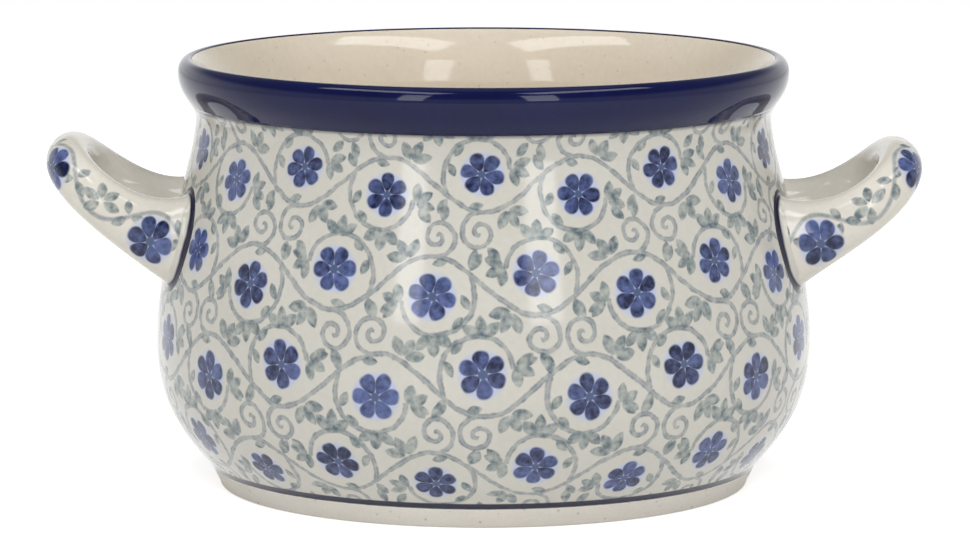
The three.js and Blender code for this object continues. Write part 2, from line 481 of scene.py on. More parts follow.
    @cached_property
    def wall_table(self) -> tuple[np.ndarray, np.ndarray]:
        """Heights of the outside and its radius at each."""
        points = self.outside() + walk(self.collar, self.short_steps, first=self.coat_start)[1:]
        return np.array([p.y for p in points]), np.array([p.x for p in points])

    @cached_property
    def painted_length(self) -> float:
        """Length of the painted wall from the foot line up to the cobalt coat."""
        return float(lengths(self.outside())[-1])


@dataclass(frozen=True)
class Finish:
    """A surface: what it is called, its ground colours and its gloss, with lengths in millimetres."""

    name: str
    ground: str
    shade: str
    roughness: float
    ior: float
    cloud: float = 24.0
    cloud_share: float = 0.6
    grain: float = 1.3
    shading: Span = (0.35, 0.65)
    speck: str = "9c8f7c"
    speck_share: float = 0.0
    speck_pitch: float = 2.6
    speck_edge: Span = (0.16, 0.07)
    ripple: float = 7.0
    ripple_depth: float = 0.01

    def material(self) -> Material:
        """Makes the material at the first call and gives the same one at each later call.

        Returns:
            A glossy or dull material with its ground, decoration and fine relief.
        """
        if self.name in bpy.data.materials:
            return bpy.data.materials[self.name]
        made = bpy.data.materials.new(self.name)
        sheet = Sheet.of(made)
        place = sheet.add("ShaderNodeTexCoord").outputs["Object"]
        colour = self.decorate(sheet, place, self.clay(sheet, place))
        relief = sheet.add("ShaderNodeTexNoise", Vector=place, Scale=1 / (self.ripple * MM), Detail=1.0)
        bump = sheet.add("ShaderNodeBump", Strength=1.0, Distance=self.ripple_depth * MM, Height=relief)
        gloss = {"Roughness": self.roughness, "IOR": self.ior, "Normal": bump}
        sheet.add("ShaderNodeOutputMaterial", sheet.add("ShaderNodeBsdfPrincipled", colour, **gloss))
        return made

    def clay(self, sheet: Sheet, place: Feed) -> Feed:
        """Draws the ground: slow clouds, fine grain and a few iron specks.

        Args:
            sheet: Tree that it is drawn in.
            place: Object coordinates.

        Returns:
            The ground's colour.
        """
        clouds = sheet.add("ShaderNodeTexNoise", Vector=place, Scale=1 / (self.cloud * MM), Detail=3.0)
        grain = sheet.add("ShaderNodeTexNoise", Vector=place, Scale=1 / (self.grain * MM), Detail=2.0)
        both = sheet.add(Op.ADD, (Op.MUL, clouds, self.cloud_share), (Op.MUL, grain, 1 - self.cloud_share))
        share = sheet.add("ShaderNodeMapRange", both, *self.shading)
        colour = sheet.add("ShaderNodeMix", share, linear(self.ground), linear(self.shade), data_type="RGBA")
        if not self.speck_share:
            return colour
        dots = sheet.add("ShaderNodeTexVoronoi", Vector=place, Scale=1 / (self.speck_pitch * MM))
        specks = sheet.add("ShaderNodeMapRange", dots, *self.speck_edge, 0.0, self.speck_share)
        return sheet.add("ShaderNodeMix", specks, colour, linear(self.speck), data_type="RGBA")

    def decorate(self, sheet: Sheet, place: Feed, colour: Feed) -> Feed:
        """Leaves the ground bare; a painted finish draws on it.

        Args:
            sheet: Tree that it is drawn in.
            place: Object coordinates.
            colour: The ground's colour.

        Returns:
            The decorated colour.
        """
        return colour


@dataclass(frozen=True)
class Fan:
    """Leaves or petals round a point of a repeat, in millimetres and degrees."""

    x: float
    y: float
    reach: float
    half_length: float
    half_width: float
    heading: float = 0.0
    spacing: float = 60.0
    each_side: int = 0
    bluntness: float = 1.25
    wedge: float = 0.0

    def feeds(self, turn: Feed) -> tuple[Feed, ...]:
        """Gives what the group that draws it takes after the place, for a heading in radians."""
        count = (math.radians(self.spacing), float(self.each_side))
        size = (self.reach, self.half_length, self.half_width, self.bluntness, self.wedge)
        return ((self.x, self.y, 0), turn, *count, *size)


@dataclass(frozen=True)
class Curl:
    """A line that winds in round a point of a repeat; hand is 1 where it winds clockwise."""

    x: float
    y: float
    start: float
    hand: int
    sweep: float
    outer: float
    inner: float
    ease: float = 1.0

    def feeds(self) -> tuple[Feed, ...]:
        """Gives what the group that draws it takes after the place."""
        turn = (math.radians(self.start), float(self.hand), math.radians(self.sweep))
        return ((self.x, self.y, 0), *turn, self.outer, self.inner, self.ease)


@dataclass(frozen=True)
class Course:
    """Every second row of vine: the middle of the first, in rows, the way it runs and its shift, in bends."""

    start: float
    flow: float
    shift: float


@dataclass(frozen=True)
class Vine:
    """A running vine with curled side shoots, leaves and a rosette in each bend, in millimetres."""

    bends_round: int = 20
    rows: int = 4
    courses: tuple[Course, Course] = (Course(0.5, 1.0, 0.0), Course(1.5, -1.0, 0.5))
    swing: float = 6.2
    petal_chance: float = 0.6
    rosette: Fan = Fan(0.2, -2.5, 2.85, 2.15, 1.46, spacing=60, each_side=3, bluntness=2.4, wedge=0.55)
    curls: tuple[Curl, ...] = (
        Curl(0.2, -2.8, 31, 1, 200, 9.4, 6.4, ease=1.1),
        Curl(1.0, 10.6, -100, -1, 520, 4.5, 0.6, ease=1.05),
    )
    leaves: tuple[Fan, ...] = (
        Fan(-5.2, 5.4, 2.7, 2.1, 1.1, heading=120, spacing=52, each_side=1),
        Fan(-6.5, -4.3, 2.5, 2.0, 1.05, heading=150, spacing=48, each_side=1),
        Fan(0.4, -9.8, 2.7, 2.1, 1.1, heading=-84, spacing=50, each_side=1),
        Fan(8.0, 3.0, 2.4, 1.9, 1.0, heading=58),
        Fan(-0.6, 13.5, 2.4, 1.9, 1.0, heading=132),
        Fan(1.8, 13.7, 2.4, 1.9, 1.0, heading=78),
        Fan(8.1, -5.2, 2.0, 1.6, 0.85, heading=118),
        Fan(4.2, -9.4, 2.0, 1.6, 0.85, heading=50),
        Fan(3.6, 5.3, 2.0, 1.6, 0.85, heading=-166),
    )

    def bend_length(self, radius: float) -> float:
        """Gives the length of a bend on a ring round the bowl."""
        return TURN * radius / self.bends_round

    def drawing(self, belly_radius: float) -> NodeTree:
        """Draws one row of the vine.

        Args:
            belly_radius: Radius at which the repeat has its true size.

        Returns:
            A group that gives, at a place of the row, how far the lines, leaves and petals are.
        """
        takes = dict.fromkeys(("Around", "Height", "Size", "Row"), Socket.NUMBER)
        gives = dict.fromkeys(("Line", "Leaf", "Petal", "Tone", "Heart"), Socket.NUMBER)
        sheet = Sheet.group("vine_row", "ShaderNodeTree", takes, gives)
        around, height, size, row = sheet.taken
        cell = self.bend_length(belly_radius)
        bend = sheet.add(Op.FLOOR, around)
        along = sheet.add(Op.SUB, (Op.SUB, around, bend), 0.5)
        facing = sheet.add(Op.SUB, 1.0, (Op.MUL, (Op.MOD, bend, 2.0), 2.0))
        y = sheet.add(Op.MUL, (Op.DIV, height, size), facing)
        place = sheet.add("ShaderNodeCombineXYZ", (Op.MUL, along, cell), y)
        phase = sheet.add(Op.MUL, along, math.pi)
        off = sheet.add(Op.SUB, y, (Op.MUL, (Op.COS, phase), self.swing))
        slope = sheet.add(Op.MUL, (Op.SIN, phase), self.swing * math.pi / cell)
        step = sheet.add("ShaderNodeCombineXYZ", 1.0, slope)
        steep = sheet.add("ShaderNodeVectorMath", step, operation="LENGTH").outputs["Value"]
        wind, petals = winding_line(), fan_shape()
        lines = [sheet.add(Op.ABS, (Op.DIV, off, steep))]
        lines += [sheet.add("ShaderNodeGroup", place, *curl.feeds(), node_tree=wind) for curl in self.curls]
        leaves = [
            sheet.add("ShaderNodeGroup", place, *fan.feeds(math.radians(fan.heading)), node_tree=petals)
            for fan in self.leaves
        ]
        key = sheet.add("ShaderNodeCombineXYZ", bend, row)
        chance = sheet.add("ShaderNodeTexWhiteNoise", key, noise_dimensions="2D")
        turn = sheet.add(Op.MUL, chance, math.radians(self.rosette.spacing))
        flower = sheet.add("ShaderNodeGroup", place, *self.rosette.feeds(turn), node_tree=petals)
        key = sheet.add("ShaderNodeCombineXYZ", bend, row, flower.outputs["Petal"])
        own = sheet.add("ShaderNodeTexWhiteNoise", key, noise_dimensions="3D")
        tone = sheet.add(Op.ADD, (Op.MUL, own, self.petal_chance), (Op.MUL, chance, 1 - self.petal_chance))
        centre = (self.rosette.x, self.rosette.y, 0)
        heart = sheet.add("ShaderNodeVectorMath", place, centre, operation="DISTANCE").outputs["Value"]
        sheet.add("NodeGroupOutput", sheet.least(lines), sheet.least(leaves), flower, tone, heart)
        return sheet.tree


@cache
def winding_line() -> NodeTree:
    """Draws a line that winds in round a centre, for up to two turns.

    Returns:
        A group that gives the distance to that line, the same one at each call.
    """
    takes = {"Place": Socket.PLACE, "Centre": Socket.PLACE}
    takes |= dict.fromkeys(("Start", "Hand", "Sweep", "Outer", "Inner", "Ease"), Socket.NUMBER)
    sheet = Sheet.group("winding_line", "ShaderNodeTree", takes, {"Distance": Socket.NUMBER})
    place, centre, start, hand, sweep, outer, inner, ease = sheet.taken
    moved = sheet.add("ShaderNodeVectorMath", place, centre, operation="SUBTRACT")
    out = sheet.add("ShaderNodeVectorMath", moved, operation="LENGTH").outputs["Value"]
    x, y, _ = sheet.add("ShaderNodeSeparateXYZ", moved).outputs
    turned = sheet.add(Op.MUL, (Op.SUB, start, (Op.ATAN2, y, x)), hand)
    first = sheet.add(Op.WRAP, turned, TURN, 0.0)
    span = sheet.add(Op.SUB, outer, inner)
    gaps = []
    for gone in (first, sheet.add(Op.ADD, first, TURN)):
        left = sheet.add(Op.MAX, (Op.SUB, 1.0, (Op.DIV, gone, sweep)), 0.0)
        radius = sheet.add(Op.ADD, (Op.MUL, (Op.POW, left, ease), span), inner)
        past = sheet.add(Op.MUL, (Op.MAX, (Op.SUB, gone, sweep), 0.0), out)
        gap = sheet.add("ShaderNodeCombineXYZ", (Op.SUB, out, radius), past)
        gaps.append(sheet.add("ShaderNodeVectorMath", gap, operation="LENGTH").outputs["Value"])
    sheet.add("NodeGroupOutput", sheet.least(gaps))
    return sheet.tree


@cache
def fan_shape() -> NodeTree:
    """Draws a fan of leaves or petals round a centre.

    Returns:
        A group that gives a value below 1 inside them, and the number of the nearest one.
    """
    takes = {"Place": Socket.PLACE, "Centre": Socket.PLACE}
    sizes = ("Turn", "Spacing", "Each Side", "Reach", "Half Length", "Half Width", "Bluntness", "Wedge")
    takes |= dict.fromkeys(sizes, Socket.NUMBER)
    gives = dict.fromkeys(("Shape", "Petal"), Socket.NUMBER)
    sheet = Sheet.group("fan_of_petals", "ShaderNodeTree", takes, gives)
    place, centre, turn, spacing, each_side, reach, half_length, half_width, bluntness, wedge = sheet.taken
    moved = sheet.add("ShaderNodeVectorMath", place, centre, operation="SUBTRACT")
    turned = sheet.add("ShaderNodeVectorRotate", moved, Angle=turn, rotation_type="Z_AXIS", invert=True)
    out = sheet.add("ShaderNodeVectorMath", moved, operation="LENGTH").outputs["Value"]
    x, y, _ = sheet.add("ShaderNodeSeparateXYZ", turned).outputs
    angle = sheet.add(Op.ATAN2, y, x)
    nearest = sheet.add(Op.ROUND, (Op.DIV, angle, spacing))
    petal = sheet.add("ShaderNodeClamp", nearest, (Op.MUL, each_side, -1.0), each_side)
    off = sheet.add(Op.SUB, angle, (Op.MUL, petal, spacing))
    ahead = sheet.add(Op.SUB, (Op.MUL, out, (Op.COS, off)), reach)
    spread = sheet.add("ShaderNodeMix", wedge, out, reach)
    beside = sheet.add(Op.ABS, (Op.MUL, spread, (Op.SIN, off)))
    long = sheet.add(Op.POW, (Op.ABS, (Op.DIV, ahead, half_length)), 2.0)
    wide = sheet.add(Op.POW, (Op.DIV, beside, half_width), bluntness)
    counted = sheet.add(Op.MOD, petal, (Op.MUL, each_side, 2.0))
    sheet.add("NodeGroupOutput", (Op.ADD, long, wide), counted)
    return sheet.tree


@dataclass(frozen=True)
class Motif:
    """What is drawn at a place: how far lines and hearts are, shapes below 1 inside, and a petal's tone."""

    line: Feed
    leaf: Feed
    petal: Feed
    tone: Feed
    heart: Feed


@dataclass(frozen=True)
class Paint:
    """Underglaze colours and the brush that lays them.

    Lengths are in millimetres. A fade is where a mark starts to thin out and where it has gone; leaves and
    petals count 1 along their outline. `ease` is for lines, hearts and washes.
    """

    line: str = "8f979b"
    line_edge: str = "6a737a"
    leaf: str = "8b9897"
    leaf_tip: str = "54666f"
    petal_deep: str = "0a153d"
    petal_pale: str = "5c6ba0"
    heart: str = "4a5a80"
    wash: str = "b6c2e4"
    indigo: str = "151436"
    line_core: float = 0.1
    line_half: float = 0.51
    line_dry: float = 0.39
    line_swell: float = 0.25
    line_soft: float = 0.26
    leaf_fade: Span = (0.9, 1.4)
    petal_fade: Span = (0.75, 1.3)
    heart_fade: Span = (0.7, 1.15)
    wash_fade: Span = (4.1, 5.7)
    wash_cover: float = 0.75
    clearing: Span = (4.7, 5.4)
    pool: float = 1.6
    pooling: Span = (0.3, 0.7)
    cover: Span = (0.5, 0.95)
    own_tone: float = 0.5
    tones: Span = (0.24, 0.86)
    ease: Ease = Ease.SMOOTH

    def lay(self, sheet: Sheet, place: Feed, colour: Feed, motif: Motif, face: Feed = 1.0) -> Feed:
        """Lays the colours, with pools and thin places as a wet brush leaves them.

        Args:
            sheet: Tree that they are laid in.
            place: Object coordinates.
            colour: The ground's colour.
            motif: What is drawn.
            face: 1 where it is painted and 0 where the ground stays bare.

        Returns:
            The painted colour.
        """
        pools = sheet.add("ShaderNodeTexNoise", Vector=place, Scale=1 / (self.pool * MM), Detail=2.0)
        wet = sheet.add("ShaderNodeMapRange", pools, *self.pooling)
        cover = sheet.add("ShaderNodeMapRange", wet, 0.0, 1.0, *self.cover)
        clear = sheet.add("ShaderNodeMapRange", motif.heart, *self.clearing)
        thin = sheet.add(Op.MUL, cover, clear)
        past = sheet.add(Op.SUB, motif.line, (Op.ADD, (Op.MUL, wet, self.line_swell), self.line_dry))
        rim = sheet.add("ShaderNodeMapRange", motif.line, self.line_core, self.line_half)
        mixed = sheet.add(Op.ADD, (Op.MUL, motif.tone, self.own_tone), (Op.MUL, wet, 1 - self.own_tone))
        tone = sheet.add("ShaderNodeMapRange", mixed, *self.tones)
        for edge, fade, ease, strength, blend, first, second in (
            (motif.heart, self.wash_fade, self.ease, self.wash_cover, 0.0, self.wash, self.wash),
            (past, (-self.line_soft, self.line_soft), self.ease, thin, rim, self.line, self.line_edge),
            (motif.leaf, self.leaf_fade, Ease.SMOOTH, thin, wet, self.leaf, self.leaf_tip),
            (motif.petal, self.petal_fade, Ease.SMOOTH, 1.0, tone, self.petal_deep, self.petal_pale),
            (motif.heart, self.heart_fade, self.ease, 1.0, 0.0, self.heart, self.heart),
        ):
            mark = sheet.add("ShaderNodeMapRange", edge, *fade, 1.0, 0.0, interpolation_type=ease.value)
            share = sheet.add(Op.MUL, mark, (Op.MUL, strength, face))
            ink = sheet.add("ShaderNodeMix", blend, linear(first), linear(second), data_type="RGBA")
            colour = sheet.add("ShaderNodeMix", share, colour, ink, data_type="RGBA")
        return colour


@dataclass(frozen=True)
class PaintedWall(Finish):
    """Clear glaze over the vine that is painted round the bowl."""

    outline: Outline = Outline()
    vine: Vine = Vine()
    paint: Paint = Paint()
    waver: float = 9.0
    waver_reach: float = 1.4
    waver_grit: float = 0.65
    foot_line_at: float = 0.825
    foot_line_half: float = 0.775
    foot_line_soft: float = 0.15
    bleed: float = 0.9
    bleed_cover: float = 0.8

    def decorate(self, sheet: Sheet, place: Feed, colour: Feed) -> Feed:
        """Paints the rows of vine, the line at the foot and the edge of the cobalt.

        Args:
            sheet: Tree that it is drawn in.
            place: Object coordinates.
            colour: The ground's colour.

        Returns:
            The painted colour.
        """
        climb = sheet.add("ShaderNodeAttribute", attribute_name="arc").outputs["Fac"]
        rows = low, high = self.draw_rows(sheet, place, climb)
        line, leaf, petal, heart = (
            sheet.least(row.outputs[part] for row in rows) for part in ("Line", "Leaf", "Petal", "Heart")
        )
        upper = sheet.add(Op.LESS, high.outputs["Petal"], low.outputs["Petal"])
        tone = sheet.add("ShaderNodeMix", upper, low.outputs["Tone"], high.outputs["Tone"])
        colour = self.paint.lay(sheet, place, colour, Motif(line, leaf, petal, tone, heart))
        apart = sheet.add(Op.ABS, (Op.SUB, climb, self.foot_line_at))
        fade = (self.foot_line_half - self.foot_line_soft, self.foot_line_half + self.foot_line_soft)
        top = self.outline.painted_length
        for share in (
            sheet.add("ShaderNodeMapRange", apart, *fade, 1.0, 0.0),
            sheet.add("ShaderNodeMapRange", climb, top - self.bleed, top, 0.0, self.bleed_cover),
        ):
            colour = sheet.add("ShaderNodeMix", share, colour, linear(self.paint.indigo), data_type="RGBA")
        return colour

    def draw_rows(self, sheet: Sheet, place: Feed, climb: Feed) -> list[Node]:
        """Draws the vine in two interleaved courses, with the waver of a hand.

        Args:
            sheet: Tree that it is drawn in.
            place: Object coordinates.
            climb: Length up the wall from the foot line.

        Returns:
            The node of each course, which gives how far its parts are.
        """
        x, y, _ = sheet.add("ShaderNodeSeparateXYZ", place).outputs
        flat = sheet.add("ShaderNodeCombineXYZ", x, y)
        radius = sheet.add("ShaderNodeVectorMath", flat, operation="LENGTH").outputs["Value"]
        size = sheet.add(Op.DIV, radius, self.outline.belly_radius * MM)
        tremor = {"Scale": 1 / (self.waver * MM), "Detail": 2.0, "Roughness": self.waver_grit}
        hand = sheet.add("ShaderNodeTexNoise", Vector=place, **tremor).outputs["Color"]
        sways = sheet.add("ShaderNodeSeparateXYZ", hand).outputs[:2]
        aside, aloft = (sheet.add(Op.MUL, (Op.SUB, sway, 0.5), self.waver_reach) for sway in sways)
        cell = self.vine.bend_length(self.outline.belly_radius)
        bends = sheet.add(Op.MUL, (Op.ATAN2, y, x), self.vine.bends_round / TURN)
        around = sheet.add(Op.ADD, bends, (Op.DIV, aside, cell))
        height = sheet.add(Op.ADD, climb, aloft)
        pitch = self.outline.painted_length / self.vine.rows
        drawing = self.vine.drawing(self.outline.belly_radius)
        rows = []
        for course in self.vine.courses:
            above = sheet.add(Op.SUB, height, course.start * pitch)
            number = sheet.add(Op.ROUND, (Op.DIV, above, 2 * pitch))
            local = sheet.add(Op.WRAP, above, pitch, -pitch)
            run = sheet.add(Op.ADD, (Op.MUL, around, course.flow), course.shift)
            key = sheet.add(Op.ADD, (Op.MUL, number, 2.0), course.start)
            rows.append(sheet.add("ShaderNodeGroup", run, local, size, key, node_tree=drawing))
        return rows


@dataclass(frozen=True)
class PaintedStrap(Finish):
    """Clear glaze over the sprigs that are painted on the outer face of a handle."""

    paint: Paint = Paint(
        line_edge="8f979b",
        line_dry=0.51,
        line_swell=0.0,
        leaf_fade=(0.75, 1.25),
        wash_fade=(3.8, 5.2),
        clearing=(4.4, 5.0),
        ease=Ease.EVEN,
    )
    pitch: float = 24.0
    rosette: Fan = Fan(0, -1.2, 2.65, 2.0, 1.36, spacing=60, each_side=3, bluntness=2.4, wedge=0.55)
    twig: Fan = Fan(0, 1.0, 2.0, 1.5, 0.85, spacing=110, each_side=1)
    sprig: Fan = Fan(0, 0.8, 2.2, 1.7, 0.95, spacing=60, each_side=2)
    shifts: tuple[float, ...] = (0.5, 0.25, 0.75, 0.0)
    face_width: float = 7.0
    face_fade: float = 1.5
    tendril_middle: float = 1.0
    tendril_swing: float = 3.2

    def decorate(self, sheet: Sheet, place: Feed, colour: Feed) -> Feed:
        """Paints rosettes, twigs and sprigs by turns along the outer face, with a tendril between them.

        Args:
            sheet: Tree that it is drawn in.
            place: Object coordinates.
            colour: The ground's colour.

        Returns:
            The painted colour.
        """
        strap = sheet.add("ShaderNodeAttribute", attribute_name="strap").outputs["Vector"]
        x, y, along = sheet.add("ShaderNodeSeparateXYZ", strap).outputs
        flat = sheet.add("ShaderNodeCombineXYZ", x, y)
        radius = sheet.add("ShaderNodeVectorMath", flat, operation="LENGTH").outputs["Value"]
        across = sheet.add(Op.MUL, (Op.ATAN2, y, x), radius)
        repeat = sheet.add(Op.DIV, along, self.pitch)
        drawn = []
        for fan, shift in zip((self.rosette, self.twig, self.twig, self.sprig), self.shifts):
            step = sheet.add(Op.ADD, repeat, shift)
            number = sheet.add(Op.ROUND, step)
            local = sheet.add(Op.MUL, (Op.SUB, step, number), self.pitch)
            spot = sheet.add("ShaderNodeCombineXYZ", local, across)
            chance = sheet.add("ShaderNodeTexWhiteNoise", W=number, noise_dimensions="1D")
            feeds = fan.feeds((Op.MUL, chance, TURN))
            drawn.append((sheet.add("ShaderNodeGroup", spot, *feeds, node_tree=fan_shape()), number, spot))
        (flower, number, spot), *leaves = drawn
        key = sheet.add("ShaderNodeCombineXYZ", number, flower.outputs["Petal"])
        centre = (self.rosette.x, self.rosette.y, 0)
        wave = sheet.add(Op.COS, (Op.MUL, (Op.SUB, repeat, 0.5), TURN))
        middle = sheet.add(Op.ADD, self.tendril_middle, (Op.MUL, wave, self.tendril_swing))
        motif = Motif(
            line=sheet.add(Op.ABS, (Op.SUB, across, middle)),
            leaf=sheet.least(leaf for leaf, _, _ in leaves),
            petal=flower,
            tone=sheet.add("ShaderNodeTexWhiteNoise", key, noise_dimensions="2D"),
            heart=sheet.add("ShaderNodeVectorMath", spot, centre, operation="DISTANCE").outputs["Value"],
        )
        fade = (self.face_width, self.face_width + self.face_fade)
        face = sheet.add("ShaderNodeMapRange", (Op.ABS, across), *fade, 1.0, 0.0)
        return self.paint.lay(sheet, place, colour, motif, face)


@dataclass(frozen=True)
class RootLine(Finish):
    """Clear glaze over the slip at a root, with an indigo line drawn round it.

    The line's place, its softness and the reach of its waver are shares of the slip's width.
    """

    paint: Paint = Paint()
    line_to: float = 0.6
    line_soft: float = 0.08
    waver: float = 5.0
    waver_reach: float = 0.25

    def decorate(self, sheet: Sheet, place: Feed, colour: Feed) -> Feed:
        """Draws the line along the outer edge of the slip.

        Args:
            sheet: Tree that it is drawn in.
            place: Object coordinates.
            colour: The slip's colour.

        Returns:
            The painted colour.
        """
        share = sheet.add("ShaderNodeAttribute", attribute_name="across").outputs["Fac"]
        hand = sheet.add("ShaderNodeTexNoise", Vector=place, Scale=1 / (self.waver * MM), Detail=1.0)
        edge = sheet.add(Op.ADD, share, (Op.MUL, (Op.SUB, hand, 0.5), self.waver_reach))
        fade = (self.line_to - self.line_soft, self.line_to + self.line_soft)
        line = sheet.add("ShaderNodeMapRange", edge, *fade, 1.0, 0.0)
        return sheet.add("ShaderNodeMix", line, colour, linear(self.paint.indigo), data_type="RGBA")


# Clear glaze over cream clay: pale and glassy, slightly rippled, with brush marks or a dark line under it
CREAM = {"ground": "d5d2c9", "shade": "cecbc1", "roughness": 0.1, "ior": 1.43}
PAINTED_STONEWARE = PaintedWall("painted_stoneware_clear_glaze", **CREAM)
SLIP = RootLine("stoneware_slip_clear_glaze", **CREAM)
# Clear glaze over a pulled strap: smoother, with sharper lights along its edges; its ground is a paler copy
# of the wall's cream, painted light that makes the strap look more brightly lit
STRAP = {"ground": "e5e0d6", "shade": "ddd7ca", "roughness": 0.07, "ior": 1.43}
PAINTED_STRAP = PaintedStrap("painted_strap_clear_glaze", **STRAP)
# Clear glaze over the plain inside: glassy, with a few iron specks showing through; its ground is a lighter,
# warmer copy of the wall's cream, painted light that stands in for warm light bounced between the inner walls
INSIDE = {"ground": "e5dac8", "shade": "ddd2bf", "roughness": 0.07, "ior": 1.43}
PLAIN_STONEWARE = Finish("plain_stoneware_clear_glaze", **INSIDE, speck_share=0.25)
# Biscuit stoneware where the glaze was wiped off: dull, warm and finely gritty
BARE_STONEWARE = Finish(
    "bare_stoneware",
    ground="f0ebe2",
    shade="e6e0d6",
    roughness=0.62,
    ior=1.45,
    grain=0.6,
    speck="8f8172",
    speck_share=0.4,
    ripple=0.8,
    ripple_depth=0.03,
)
# Dipped cobalt glaze: nearly black blue, thick and glassy, with a slow ripple where it ran
COBALT = Finish(
    "dipped_cobalt_glaze",
    ground="050c3c",
    shade="081146",
    roughness=0.06,
    ior=1.33,
    cloud=14.0,
    ripple=9.0,
    ripple_depth=0.016,
)


@dataclass(frozen=True)
class Strip:
    """A strip of the flat chart that paint is baked on, as shares of the chart.

    It takes the skin from one length along the outline to another, and a sweep of the turn.
    """

    first: float
    last: float
    base: float
    tall: float
    start: float = -math.pi
    sweep: float = TURN
    gap: float = 0.006

    def spot(self, angle: float, length: float) -> Span:
        """Gives the place on the chart of a point of the skin."""
        across, up = (angle - self.start) / self.sweep, (length - self.first) / (self.last - self.first)
        return self.gap + across * (1 - 2 * self.gap), self.base + self.gap + up * (self.tall - 2 * self.gap)


@dataclass(frozen=True)
class TurnedClay:
    """What is turned on the wheel: the body and the cobalt coat on its rim."""

    outline: Outline
    sides: int = 224
    weld: float = 0.001
    wall_strip: float = 0.42
    inside_strip: float = 0.1
    foot_strip: float = 0.06

    def body(self) -> None:
        """Builds the body: foot, belly, neck, lip and inside in one closed skin."""
        under, wall, rim = self.outline.underside(), self.outline.outside(), self.outline.clay_under_coat()
        points = under + wall + rim[1:] + self.outline.inside()[1:]
        far = lengths(points)
        start = far[len(under)]
        lip = far[len(under) + len(wall) + len(rim) - 2] - start
        finishes = [finish.material() for finish in (BARE_STONEWARE, PAINTED_STONEWARE, PLAIN_STONEWARE)]
        piece = self.turn("bowl_body", points, far - start, lip, finishes)
        self.lay_out(piece.data, float(-start), lip, float(far[-1] - start))
        attach(piece, "bowl_body", Slot.STONEWARE)

    def coat(self) -> None:
        """Builds the cobalt coat, a shell that thins out at its edges."""
        outer, inner = self.outline.rim_surface(), self.outline.clay_under_coat()
        points = outer + inner[-2:0:-1] + outer[:1]
        far = lengths(points)
        glazes = [COBALT.material()] * len(FINISHED_PARTS)
        attach(self.turn("rim_glaze", points, far, float(far[-1]), glazes), "rim_glaze", Slot.COBALT)

    def turn(
        self,
        name: str,
        points: Sequence[Vector],
        far: np.ndarray,
        lip: float,
        finishes: Sequence[Material],
    ) -> Object:
        """Turns an outline about the upright axis.

        Args:
            name: Name of the piece.
            points: Radii and heights of the outline, in millimetres.
            far: Length along the outline at each of them, from 0 at the foot line.
            lip: Length at which the inside begins.
            finishes: Materials below the foot line, of the wall and of the inside.

        Returns:
            The piece, as a plain mesh.
        """
        mesh = bpy.data.meshes.new(name)
        mesh.from_pydata([(p.x * MM, 0, p.y * MM) for p in points], [], [])
        store(mesh, "arc", far)
        piece = put(name, mesh)
        lathe = piece.modifiers.new("lathe", "NODES")
        lathe.node_group = lathe_tree()
        values = dict(zip(FINISHED_PARTS, finishes))
        values |= {"Sides": self.sides, "Weld": self.weld * MM, "Lip": float(lip)}
        for item in lathe.node_group.interface.items_tree:
            if item.name in values:
                lathe[item.identifier] = values[item.name]
        turned = piece.evaluated_get(bpy.context.evaluated_depsgraph_get())
        plain = bpy.data.meshes.new_from_object(turned)
        piece.modifiers.clear()
        piece.data = plain
        plain.name = name
        return piece

    def lay_out(self, mesh: Mesh, low: float, lip: float, end: float) -> None:
        """Lays the skin out flat: the wall as two half turns, above them the inside and the foot.

        Args:
            mesh: The turned mesh.
            low: Length at the middle of the underside, below 0.
            lip: Length at which the inside begins.
            end: Length at the middle of the floor.
        """
        tall = self.wall_strip
        front, rear = Strip(0.0, lip, 0.0, tall, sweep=math.pi), Strip(0.0, lip, tall, tall, 0.0, math.pi)
        inside = Strip(lip, end, 2 * tall, self.inside_strip)
        foot = Strip(low, 0.0, 2 * tall + self.inside_strip, self.foot_strip)
        places = np.empty(len(mesh.vertices) * 3)
        mesh.vertices.foreach_get("co", places)
        places = places.reshape(-1, 3)
        arc = np.empty(len(mesh.vertices))
        mesh.attributes["arc"].data.foreach_get("value", arc)
        angle = np.arctan2(places[:, 1], places[:, 0])
        middle = np.hypot(places[:, 0], places[:, 1]) < self.weld * MM
        chart = mesh.uv_layers.new(name=BAKE_MAP)
        for face in mesh.polygons:
            centre = math.atan2(face.center.y, face.center.x)
            length = float(np.mean(arc[list(face.vertices)]))
            wall = rear if centre >= 0 else front
            strip = foot if length < 0 else inside if length > lip else wall
            for loop, vertex in zip(face.loop_indices, face.vertices):
                off = 0.0 if middle[vertex] else (angle[vertex] - centre + math.pi) % TURN - math.pi
                chart.data[loop].uv = strip.spot(centre + off, arc[vertex])


